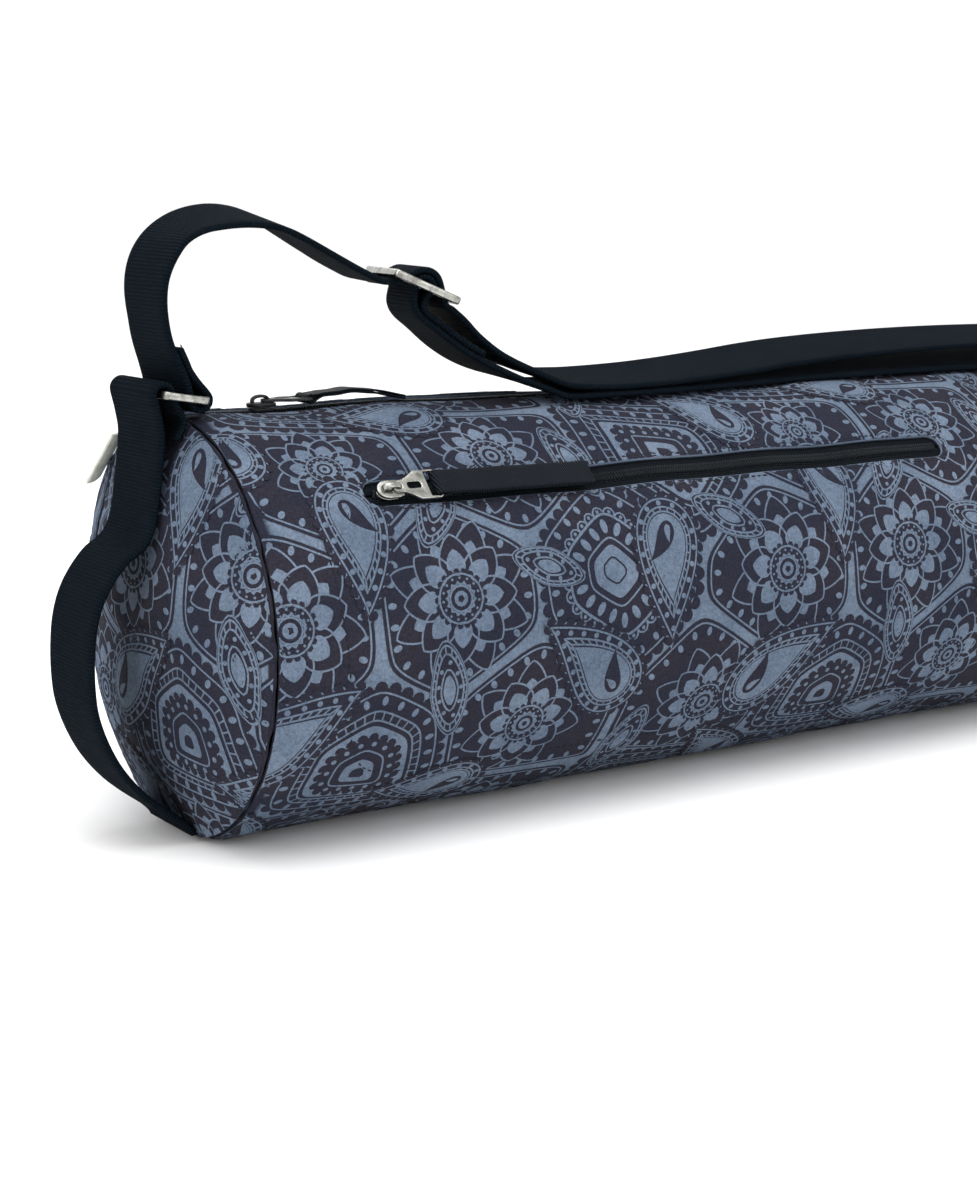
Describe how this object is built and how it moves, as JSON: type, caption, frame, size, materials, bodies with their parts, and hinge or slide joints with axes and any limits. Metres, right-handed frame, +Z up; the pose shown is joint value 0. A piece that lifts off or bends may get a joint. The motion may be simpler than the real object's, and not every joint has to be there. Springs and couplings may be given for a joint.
{
  "type": "yoga mat bag",
  "caption": "Stuffed canvas tube for a rolled exercise mat, with a zip along the top, a zipped front pocket, webbing end handles and a shoulder strap with a sliding buckle",
  "frame": {"origin": "middle of the bag's length and width, on the surface it lies on", "axes": "+X along the bag towards the right end, -Y the front with the pocket, +Z up"},
  "size_m": [0.7686, 0.16, 0.2352],
  "materials": {
    "printed_canvas": "printed cotton canvas, charcoal ground with blue-grey ornament, matte",
    "webbing": "black cotton webbing with fine cross ribs, matte",
    "zip_tape": "black woven zip tape",
    "zip_coil": "black nylon coil",
    "ribbon": "black ribbed ribbon, slight sheen",
    "nickel": "cast metal, nickel plated, slightly worn",
    "black_metal": "black enamelled metal",
    "label_cloth": "folded cream cotton tape, blank"
  },
  "bodies": {
    "root": {"body_panel": "printed_canvas", "end_panel_left": "printed_canvas", "end_panel_right": "printed_canvas", "pocket_pouch": "printed_canvas", "main_zip_tape_front": "zip_tape", "main_zip_tape_back": "zip_tape", "main_zip_coil": "zip_coil", "main_zip_slider": "black_metal", "main_zip_pull": "black_metal", "main_zip_ribbon": "ribbon", "pocket_zip_tape_front": "zip_tape", "pocket_zip_tape_back": "zip_tape", "pocket_zip_coil": "zip_coil", "pocket_zip_slider": "nickel", "pocket_zip_pull": "nickel", "pocket_zip_ribbon": "ribbon", "end_handle_left": "webbing", "end_handle_right": "webbing", "end_ring_left": "nickel", "end_ring_right": "nickel", "shoulder_strap": "webbing", "strap_return": "webbing", "strap_buckle": "nickel", "label": "label_cloth"}
  },
  "joints": []
}
